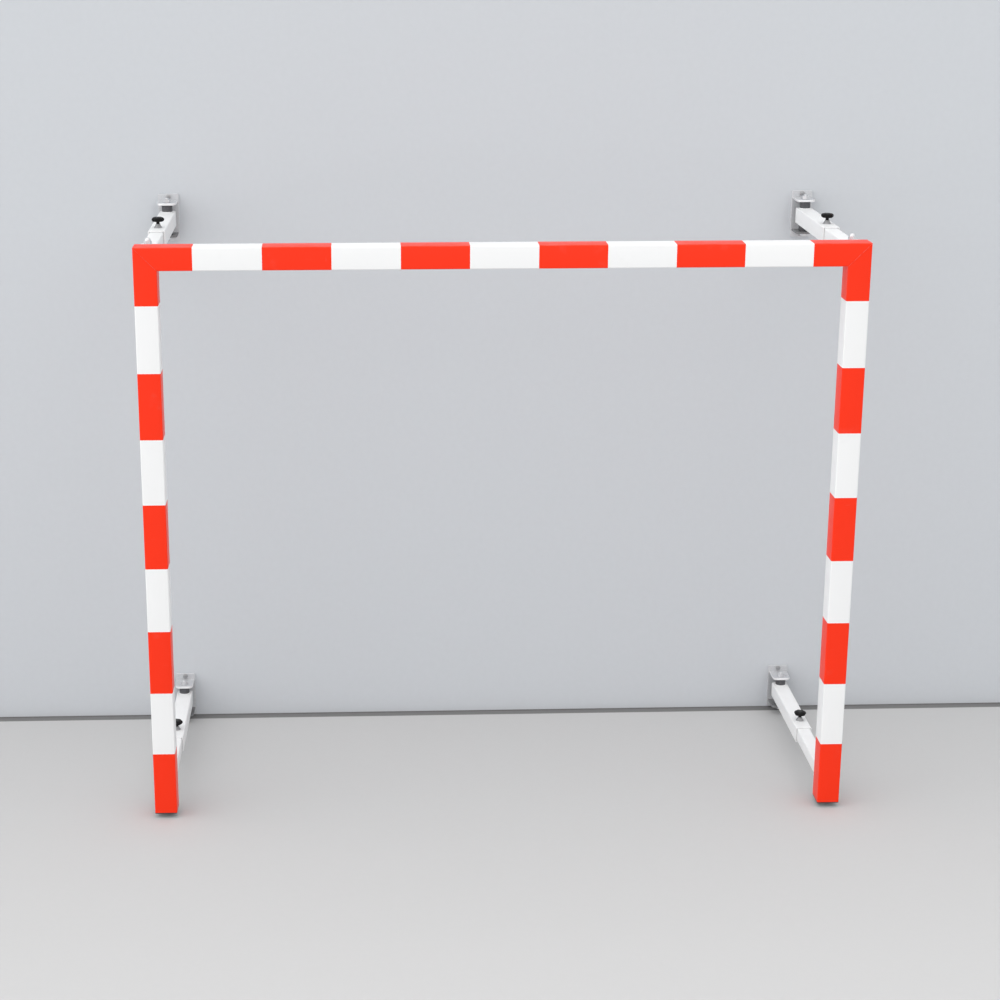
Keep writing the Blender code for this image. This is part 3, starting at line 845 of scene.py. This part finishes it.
plastic = {
    "black": (0.006, 0.006, 0.0065),
    "worn": (0.024, 0.024, 0.025),
    "cap": (0.046, 0.049, 0.047),
    "shine": 0.10,
    "dust": (0.22, 0.21, 0.20),
    "grainDepth": 0.00006,
}


def plasticMaterial(name, colour, roughness, dustAmount):
    material, tree, shader = startMaterial(name, roughness, shine=plastic["shine"])
    grain = useGroup(tree, "grain")
    rub = useGroup(tree, "rub", reach=0.0012, amount=0.6)
    dust = useGroup(tree, "dust", amount=dustAmount, patchScale=80.0)
    shade = tint(tree, colour, plastic["worn"], grain["Patch"], 0.3)
    shade = tint(tree, shade, plastic["worn"], rub["Mask"])
    fillNode(tree, shader, baseColor=tint(tree, shade, plastic["dust"], dust["Mask"]))
    shadeRoughness(tree, shader, roughness - 0.06, (grain["Patch"], 0.12), (dust["Mask"], 0.4))
    shadeBump(tree, shader, grain["Height"], plastic["grainDepth"])
    return material


# A corner band reaches along the bar and down the post. Nine equal bands lie between the two on
# the bar, and eight below each on a post.
frameLow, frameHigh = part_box("crossbar")
cornerBand = 0.200
crossbarBand = (frameHigh.x - frameLow.x - 2 * cornerBand) / 9
postBand = (frameHigh.z - cornerBand) / 8

materials = {
    "crossbar_coat": bandedMaterial("crossbar_coat", "X", True, -crossbarBand / 2, crossbarBand),
    "post_coat": bandedMaterial("post_coat", "Z", False, cornerBand - frameHigh.z, postBand),
    "outer_arm_coat": armCoatMaterial("outer_arm_coat", 0.10),
    "inner_arm_coat": armCoatMaterial("inner_arm_coat", 0.35),
    **{name: platedMaterial(name) for name in platings},
    "cast_aluminium": castMaterial("cast_aluminium"),
    "blackened_sleeve": sleeveMaterial("blackened_sleeve"),
    "black_plastic": plasticMaterial("black_plastic", plastic["black"], 0.42, 0.05),
    "cap_plastic": plasticMaterial("cap_plastic", plastic["cap"], 0.36, 0.12),
}
print("materials made:", len(materials))


# Goal frame

goalBars = {
    "round": 0.004,
    "wall": 0.004,
    "boreRound": 0.0010,
    "cornerSteps": 6,
    "mitreGap": 0.0002,
    "foot": 0.0033,
}


# A hollow profile. pointOf takes a point of its outline to the low end, -1, or the high end, 1.
def buildBar(node, width, finish, pointOf):
    steps = goalBars["cornerSteps"]
    inside = width - 2 * goalBars["wall"]
    outer = roundedRectangle(width, width, goalBars["round"], steps)
    inner = roundedRectangle(inside, inside, goalBars["boreRound"], steps)
    shape = bmesh.new()
    loops = [addLoop(shape, [pointOf(*point, end) for point in outline])
             for outline, end in ((outer, -1), (outer, 1), (inner, 1), (inner, -1))]
    skinLoops(shape, loops, closed=True)
    finishPiece(node + "_coated", shape, [finish], "goal", node)


def buildCrossbar():
    low, high, middle = spanOf("crossbar")
    width = high.y - low.y

    def pointOf(y, z, end):
        fromTop = width / 2 - z
        return end * (high.x - fromTop - goalBars["mitreGap"]), middle.y + y, middle.z + z

    buildBar("crossbar", width, "crossbar_coat", pointOf)


def buildPost(word):
    low, high, middle = spanOf("post_" + word)
    width = high.y - low.y
    side = -1 if middle.x < 0 else 1

    def pointOf(x, y, end):
        fromOuter = width / 2 - side * x
        top = frameHigh.z - fromOuter - goalBars["mitreGap"]
        return middle.x + x, middle.y + y, top if end > 0 else goalBars["foot"]

    buildBar("post_" + word, width, "post_coat", pointOf)


footCap = {
    "flange": 0.003,
    "edge": 0.0008,
    "rim": 0.006,
    "recess": 0.0010,
    "plugWall": 0.003,
    "plugPlay": 0.0004,
}


# Plastic cap: a flange with a recessed sole, and the plug that grips the bore.
def buildFootCap(word):
    node = "foot_cap_" + word
    low, high, middle = spanOf(node)
    width = high.x - low.x
    bend = goalBars["round"]
    plug = width - 2 * goalBars["wall"] - 2 * footCap["plugPlay"]
    edge = footCap["edge"]
    sole = width - 2 * footCap["rim"]
    recess = footCap["recess"]
    flange = footCap["flange"]
    inner = plug - 2 * footCap["plugWall"]
    shape = bmesh.new()

    def pole(height):
        return addLoop(shape, [(middle.x, middle.y, height)])

    def capLoop(side, curve, height):
        outline = roundedRectangle(side, side, curve, goalBars["cornerSteps"])
        return addLoop(shape, [(middle.x + x, middle.y + y, height) for x, y in outline])

    rows = [
        (sole - 2 * recess, bend, recess), (sole, bend, 0.0), (width - 2 * edge, bend - edge, 0.0),
        (width, bend, edge), (width, bend, flange - edge / 2),
        (width - edge, bend - edge / 2, flange), (plug, 0.0015, flange),
        (plug, 0.0015, high.z - edge), (plug - 2 * edge, 0.0012, high.z),
        (inner, 0.0010, high.z), (inner, 0.0010, flange + recess),
    ]
    skinLoops(shape, [pole(recess), *[capLoop(*row) for row in rows], pole(flange + recess)])
    finishPiece(node + "_moulded", shape, ["cap_plastic"], "goal", node)


def dressCornerJoint(word):
    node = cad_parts["corner_joint_" + word]
    node.data.materials.clear()
    node.data.materials.append(materials["cast_aluminium"])


buildCrossbar()
for sideWord in ("left", "right"):
    buildPost(sideWord)
    buildFootCap(sideWord)
    dressCornerJoint(sideWord)
print("goal frame dressed")


# Brackets

wallBracket = {
    "plateThick": 0.008,
    "plateRound": 0.008,
    "earWidth": 0.070,
    "earThick": 0.008,
    "earGap": 0.057,
    "earRound": 0.018,
    "hingeReach": 0.065,
    "boltHole": 0.0084,
    "anchorHole": 0.0055,
    "chamfer": 0.0012,
    "bead": 0.0026,
    "beadMargin": 0.002,
    # The upper ear's rim carries a painted highlight, and the lower ear painted shade.
    "finishes": ["zinc_plate", "painted_highlight_zinc", "painted_shade_zinc"],
    "weldFinish": "weld_zinc",
}

goalBracket = {
    "plateThick": 0.006,
    "plateRound": 0.005,
    "earWidth": 0.050,
    "earThick": 0.006,
    "earGap": 0.0285,
    "earRound": 0.014,
    "hingeReach": 0.0497,
    "boltHole": 0.0084,
    "chamfer": 0.0007,
    "bead": 0.0022,
    "beadMargin": 0.002,
    "screwSpread": (0.040, 0.030),
    "screwRadius": 0.0065,
    "screwTall": 0.0038,
    "finishes": ["outer_arm_coat", "outer_arm_coat", "outer_arm_coat"],
    "weldFinish": "outer_arm_coat",
}

beadSpacing = 0.0006


# A plate and two ears welded to it. Facing is -1 for ears along -Y and 1 for +Y. The three finishes
# are the plate's, the upper ear's rim's and the lower ear's; on a wall bracket the rim's has a
# painted highlight and the lower ear's painted shade.
def buildClevis(kind, corner, sizes, facing, rootY, plateHoles, body):
    low, high, middle = spanOf(kind + "_bracket_" + corner)
    front = -sizes["plateThick"]
    earLength = high.y - low.y - sizes["plateThick"]
    plateWidth, plateHeight = high.x - low.x, high.z - low.z
    turn = Matrix.Identity(4) if facing < 0 else Matrix.Rotation(math.pi, 4, "Z")
    root = Matrix.Translation((middle.x, rootY, middle.z)) @ turn
    shape = bmesh.new()

    def plateOutline(inset):
        return roundedRectangle(plateWidth - 2 * inset, plateHeight - 2 * inset,
                                sizes["plateRound"] - inset, 8)

    def oneEar(inset):
        return earOutline(sizes["earWidth"], earLength, sizes["earRound"], 10, inset)

    slab(shape, plateOutline, plateHoles, sizes["plateThick"], sizes["chamfer"],
         root @ Matrix.Rotation(quarterTurn, 4, "X"))
    holeY = -(sizes["hingeReach"] - sizes["plateThick"])
    for bottom, faceIndex, rimIndex in ((sizes["earGap"], 0, 1),
                                        (-sizes["earGap"] - sizes["earThick"], 2, 2)):
        slab(shape, oneEar, [(0.0, holeY, sizes["boltHole"])], sizes["earThick"], sizes["chamfer"],
             root @ Matrix.Translation((0.0, front, bottom)), faceIndex, rimIndex)
    finishPiece(kind + "_bracket_dressed_" + corner, shape, sizes["finishes"], body,
                kind + "_bracket_" + corner)
    seams = bmesh.new()
    half = sizes["earWidth"] / 2 - sizes["beadMargin"]
    for level in (sizes["earGap"], sizes["earGap"] + sizes["earThick"]):
        for sign in (-1, 1):
            start, end = (root @ Vector((side, front, sign * level)) for side in (-half, half))
            weldBead(seams, linePoints(start, end, beadSpacing), sizes["bead"])
    finishPiece(kind + "_bracket_welds_dressed_" + corner, seams, [sizes["weldFinish"]], body)


def buildWallBracket(corner):
    anchorOffset = spanOf("wall_anchor_" + corner + "_top")[2].z - spanOf(
        "wall_bracket_" + corner)[2].z
    holes = [(0.0, sign * anchorOffset, wallBracket["anchorHole"]) for sign in (-1, 1)]
    buildClevis("wall", corner, wallBracket, -1, 0.0, holes, "wall_side")


def buildGoalBracket(corner):
    low, middle = spanOf("goal_bracket_" + corner)[::2]
    buildClevis("goal", corner, goalBracket, 1, low.y, [], "goal")
    shape = bmesh.new()
    spreadX, spreadZ = goalBracket["screwSpread"]
    plateFace = low.y + goalBracket["plateThick"]
    onPlate = Matrix.Rotation(-quarterTurn, 4, "X")
    for signX in (-1, 1):
        for signZ in (-1, 1):
            place = Matrix.Translation((middle.x + signX * spreadX / 2, plateFace,
                                        middle.z + signZ * spreadZ / 2))
            buttonScrew(shape, goalBracket["screwRadius"], goalBracket["screwTall"],
                        place @ onPlate)
    finishPiece("goal_bracket_screws_" + corner, shape, ["fastener_zinc"], "goal")


# A low domed screw head with a hexagon socket, its underside on the plate.
def buttonScrew(shape, radius, tall, matrix):
    count = 36
    domeSteps = 6
    socket = 0.0045
    socketDepth = 0.0024
    crown = socket * 0.75
    loops = [addLoop(shape, ringPoints(0.0, 0.0, count))]
    for step in range(domeSteps + 1):
        angle = quarterTurn * step / domeSteps
        reach = crown + (radius - crown) * math.cos(angle)
        loops.append(addLoop(shape, ringPoints(reach, tall * math.sin(angle), count)))
    for depth in (0.0, socketDepth):
        loops.append(hexLoop(shape, socket, count, lambda reach: tall - depth))
    loops.append(addLoop(shape, [(0.0, 0.0, tall - socketDepth)]))
    skinLoops(shape, loops)
    moveLoops(shape, loops, matrix)


# Bolts, nuts and anchors

anchor = {
    "sides": 40,
    "seatGap": 0.0002,
    "flange": 0.0016,
    "flangeRise": 0.0006,
    "acrossFlats": 0.0155,
    "shank": 0.005,
    "turns": {"top": 12.0, "bottom": 41.0},
    "turnStep": 17.0,
}

hinge = {
    "acrossFlats": 0.024,
    "headTall": 0.010,
    "nutTall": 0.013,
    "dome": 0.0112,
    "boreEnd": 0.0003,
    "borePlay": 0.0002,
    "shank": 0.0078,
    "pitch": 0.002,
    "lap": 0.002,
    "headTurn": 1.7,
    "nutTurns": {"upper_left": 8.0, "upper_right": 35.0, "lower_left": 50.0, "lower_right": 22.0},
}


# A wall anchor's flanged hexagon head and the start of its shank.
def buildAnchor(corner, word):
    node = "wall_anchor_" + corner + "_" + word
    low, high, middle = spanOf(node)
    radius = (high.z - low.z) / 2
    plate = -wallBracket["plateThick"]
    turn = anchor["turns"][word] + anchor["turnStep"] * cornerNames.index(corner)
    outward = Matrix.Translation((middle.x, plate, middle.z)) @ Matrix.Rotation(quarterTurn, 4, "X")
    flange = anchor["flange"]
    shape = bmesh.new()
    seat = anchor["seatGap"]
    rise = anchor["flangeRise"]
    disc = [(0.0, plate), (anchor["shank"], plate), (anchor["shank"], seat),
            (radius - 0.0005, seat), (radius, rise), (radius, flange),
            (radius - 2 * rise, flange + rise), (0.0, flange + rise)]
    moveLoops(shape, turnProfile(shape, disc, anchor["sides"]), outward)
    hexSolid(shape, anchor["acrossFlats"], plate - low.y - flange, 0.0,
             outward @ Matrix.Rotation(math.radians(turn), 4, "Z") @ Matrix.Translation(
                 (0.0, 0.0, flange)), chamferLow=False)
    finishPiece("wall_anchor_turned_" + corner + "_" + word, shape, ["anchor_steel"], "wall_side",
                node)


# A hinge bolt with its head below, its thread above and the nut on it: a cap nut at the goal.
def buildHingeBolt(kind, corner, body):
    boltNode = kind + "_hinge_bolt_" + corner
    nutNode = kind + "_hinge_nut_" + corner
    low, high, middle = spanOf(boltNode)
    nutLow = spanOf(nutNode)[0].z
    at = Matrix.Translation((middle.x, middle.y, 0.0))
    turn = math.radians(hinge["nutTurns"][corner])
    headTop = low.z + hinge["headTall"]
    flip = at @ Matrix.Translation((0.0, 0.0, headTop)) @ Matrix.Rotation(math.pi, 4, "X")
    shape = bmesh.new()
    hexSolid(shape, hinge["acrossFlats"], hinge["headTall"], 0.0,
             flip @ Matrix.Rotation(turn * hinge["headTurn"], 4, "Z"), chamferLow=False)
    threadedRod(shape, hinge["shank"], headTop - hinge["lap"], nutLow - hinge["lap"], high.z,
                hinge["pitch"], (middle.x, middle.y, 0.0))
    finishPiece(kind + "_hinge_bolt_turned_" + corner, shape, ["fastener_zinc"], body, boltNode)
    nut = bmesh.new()
    hexSolid(nut, hinge["acrossFlats"], hinge["nutTall"], hinge["shank"] + hinge["borePlay"],
             at @ Matrix.Translation((0.0, 0.0, nutLow)) @ Matrix.Rotation(turn, 4, "Z"),
             dome=hinge["dome"] if kind == "goal" else 0.0,
             boreDepth=high.z - nutLow + hinge["boreEnd"])
    finishPiece(kind + "_hinge_nut_turned_" + corner, nut, ["fastener_zinc"], body, nutNode)


for cornerName in cornerNames:
    buildWallBracket(cornerName)
    buildGoalBracket(cornerName)
    for anchorWord in ("top", "bottom"):
        buildAnchor(cornerName, anchorWord)
    buildHingeBolt("wall", cornerName, "wall_side")
    buildHingeBolt("goal", cornerName, "goal")
print("brackets and fasteners dressed")


# Arms

arm = {
    "outerWall": 0.004,
    "innerWall": 0.003,
    "round": 0.005,
    "tubeSoften": 0.0006,
    "tubeSteps": 6,
    "sleeveHole": 0.0204,
    "studHole": 0.0054,
    "boltHole": 0.0084,
    "sleeveWasher": 0.0022,
    "sleeveEdge": 0.0012,
    "sleeveBore": 0.0084,
    "sleeveSides": 64,
    "grooveDepth": 0.0008,
    "grooveFromTop": 0.006,
    "grooveFromFoot": 0.008,
    "bead": 0.0022,
    "bossBead": 0.0014,
    "beadSpacing": 0.0007,
    "washerRadius": 0.0155,
    "washerBore": 0.0086,
    "washerPlay": 0.0002,
}


# The grooved pivot sleeve between the ears, with a thin washer at each end.
def buildSleeve(corner):
    node = "hinge_sleeve_" + corner
    low, high, middle = spanOf(node)
    radius = (high.y - low.y) / 2
    half = (high.z - low.z) / 2
    body = half - arm["sleeveWasher"]
    edge = arm["sleeveEdge"]
    bore = arm["sleeveBore"]
    groove = arm["grooveDepth"]
    profile = [(bore, body), (radius - edge, body), (radius, body - edge)]
    for level in (body - arm["grooveFromTop"], -body + arm["grooveFromFoot"]):
        profile += [(radius, level), (radius - groove, level - 0.0008),
                    (radius - groove, level - 0.0018), (radius, level - 0.0026)]
    profile += [(radius, -body + edge), (radius - edge, -body), (bore, -body)]
    shape = bmesh.new()
    sides = arm["sleeveSides"]
    turnProfile(shape, profile, sides, middle, closed=True)
    washerPair(shape, bore, radius - 0.0015, body + 0.0002, half, 0.0004, sides, middle)
    finishPiece("hinge_sleeve_turned_" + corner, shape, ["blackened_sleeve"],
                "outer_arm_" + corner, node)


# A square tube of an arm, outer or inner, along Y with round corners, softened ends and holes.
def buildTube(kind, corner, holes):
    node = kind + "_tube_" + corner
    low, high, middle = spanOf(node)
    section = high.x - low.x
    inside = section - 2 * arm[kind + "Wall"]
    innerRadius = max(arm["round"] - arm[kind + "Wall"], 0.0010)
    soften = arm["tubeSoften"]
    shape = bmesh.new()

    def sectionLoop(level, width, curve, grow):
        outline = roundedRectangle(width + 2 * grow, width + 2 * grow, curve + grow,
                                   arm["tubeSteps"])
        return addLoop(shape, [(middle.x + x, level, middle.z + z) for x, z in outline])

    levels = [(high.y, 1.0), (high.y - soften, 0.0), (low.y + soften, 0.0), (low.y, 1.0)]
    loops = [sectionLoop(level, section, arm["round"], -soften * cut) for level, cut in levels]
    loops += [sectionLoop(level, inside, innerRadius, soften / 2 * cut)
              for level, cut in levels[::-1]]
    skinLoops(shape, loops, closed=True)
    drill(finishPiece(kind + "_tube_coated_" + corner, shape, [kind + "_arm_coat"],
                      kind + "_arm_" + corner, node), holes)


def buildOuterTube(corner):
    low, high, middle = spanOf("outer_tube_" + corner)
    section = high.x - low.x
    pivot = spanOf("hinge_sleeve_" + corner)[2]
    knob = spanOf("clamp_boss_" + corner)[2]
    buildTube("outer", corner, [
        ((pivot.x, pivot.y, middle.z), arm["sleeveHole"], 2 * section),
        ((knob.x, knob.y, high.z), arm["studHole"], section / 2)])
    seams = bmesh.new()
    for level in (low.z, high.z):
        weldBead(seams, circlePoints((pivot.x, pivot.y, level), arm["sleeveHole"] + 0.0004,
                                     arm["beadSpacing"]), arm["bead"], closed=True)
    finishPiece("sleeve_welds_" + corner, seams, ["outer_arm_coat"], "outer_arm_" + corner)


# The sliding tube, and the plastic washers that centre it in the goal bracket.
def buildInnerTube(corner):
    low, high, middle = spanOf("inner_tube_" + corner)
    section = high.x - low.x
    pin = spanOf("goal_hinge_nut_" + corner)[2]
    place = (pin.x, pin.y, middle.z)
    buildTube("inner", corner, [(place, arm["boltHole"], 2 * section)])
    washers = bmesh.new()
    washerPair(washers, arm["washerBore"], arm["washerRadius"], section / 2 + arm["washerPlay"],
               goalBracket["earGap"] - arm["washerPlay"], 0.0005, 48, place)
    finishPiece("goal_hinge_washers_" + corner, washers, ["black_plastic"], "goal")


# Clamp knob and its boss

clamp = {
    "count": 84,
    "lobes": 7,
    "notch": 0.0030,
    "discRadius": 0.023,
    "discTall": 0.0155,
    "capRadius": 0.0095,
    "neckRadius": 0.0060,
    "neckGap": 0.0003,
    "topRadius": 0.0085,
    "studRadius": 0.0050,
    "studPitch": 0.0015,
    "studPlain": 0.003,
    "bossSides": 56,
    "bossEdge": 0.0008,
    "bossSteps": 8,
    "bossFlare": 1.5,
    "bossToe": 0.002,
}


# The flared threaded boss welded on the outer tube.
def buildBoss(corner):
    node = "clamp_boss_" + corner
    low, high, middle = spanOf(node)
    foot = (high.y - low.y) / 2
    tall = high.z - low.z
    bore = arm["studHole"]
    top = clamp["topRadius"]
    edge = clamp["bossEdge"]
    base = (middle.x, middle.y, low.z)
    profile = [(bore, tall), (top - edge, tall), (top, tall - edge)]
    for step in range(1, clamp["bossSteps"] + 1):
        share = step / clamp["bossSteps"]
        profile.append((top + (foot - top) * share ** clamp["bossFlare"],
                        (tall - edge) * (1 - share) + clamp["bossToe"] * share))
    profile += [(foot, 0.0), (bore, 0.0)]
    shape = bmesh.new()
    turnProfile(shape, profile, clamp["bossSides"], base, closed=True)
    finishPiece("clamp_boss_turned_" + corner, shape, ["boss_zinc"], "outer_arm_" + corner, node)
    seam = bmesh.new()
    weldBead(seam, circlePoints(base, foot, arm["beadSpacing"]), arm["bossBead"], closed=True)
    finishPiece("clamp_boss_weld_" + corner, seam, ["weld_zinc"], "outer_arm_" + corner)


# The lobed star knob with its centre cap, and the threaded stud under it.
def buildKnob(corner):
    node = "clamp_knob_" + corner
    low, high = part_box(node)
    bossHigh, boss = spanOf("clamp_boss_" + corner)[1:]
    neckLow = bossHigh.z + clamp["neckGap"]
    top = high.z
    radius = clamp["discRadius"]
    neck = clamp["neckRadius"]
    cap = clamp["capRadius"]
    discLow = top - clamp["discTall"]
    rings = [  # radius, height, and how far the ring follows the lobes
        (0.0, top, 0.0), (cap - 0.0014, top, 0.0), (cap - 0.0002, top - 0.0006, 0.0),
        (cap, top - 0.0016, 0.0), (cap + 0.0006, top - 0.0016, 0.0),
        (cap + 0.0014, top - 0.0006, 0.0), (0.0150, top - 0.0008, 0.15),
        (0.0185, top - 0.0018, 0.5), (0.0208, top - 0.0032, 0.85), (0.0223, top - 0.0050, 1.0),
        (radius, top - 0.0075, 1.0), (radius, top - 0.0095, 1.0), (0.0224, top - 0.0120, 1.0),
        (0.0208, top - 0.0142, 0.85), (0.0190, discLow, 0.6), (0.0172, discLow + 0.0003, 0.4),
        (0.0130, discLow + 0.0020, 0.15), (0.0105, discLow + 0.0014, 0.0),
        (neck + 0.0012, discLow, 0.0), (neck + 0.0002, discLow - 0.0022, 0.0),
        (neck, neckLow + 0.0026, 0.0), (neck + 0.0003, neckLow + 0.0006, 0.0),
        (neck, neckLow, 0.0), (0.0, neckLow, 0.0),
    ]
    shape = bmesh.new()
    loops = []
    for reach, height, share in rings:
        points = []
        for x, y, z in ringPoints(reach, height, clamp["count"]):
            hollow = (0.5 - 0.5 * math.cos(clamp["lobes"] * math.atan2(y, x))) ** 1.4
            scale = 1.0 - share * clamp["notch"] * hollow / max(reach, neck)
            points.append((boss.x + x * scale, boss.y + y * scale, z))
        loops.append(addLoop(shape, points))
    capLoops = 4
    skinLoops(shape, loops[:capLoops], materialIndex=1)
    skinLoops(shape, loops[capLoops - 1:])
    finishPiece("clamp_knob_moulded_" + corner, shape, ["black_plastic", "cap_plastic"],
                "knob_" + corner, node, sharpAngle=50.0)
    stud = bmesh.new()
    threadedRod(stud, clamp["studRadius"], low.z, low.z + clamp["studPlain"], neckLow,
                clamp["studPitch"], (boss.x, boss.y, 0.0), count=24)
    finishPiece("clamp_stud_" + corner, stud, ["fastener_zinc"], "knob_" + corner)


for cornerName in cornerNames:
    buildSleeve(cornerName)
    buildOuterTube(cornerName)
    buildInnerTube(cornerName)
    buildBoss(cornerName)
    buildKnob(cornerName)
print("arms, clamps and knobs dressed")
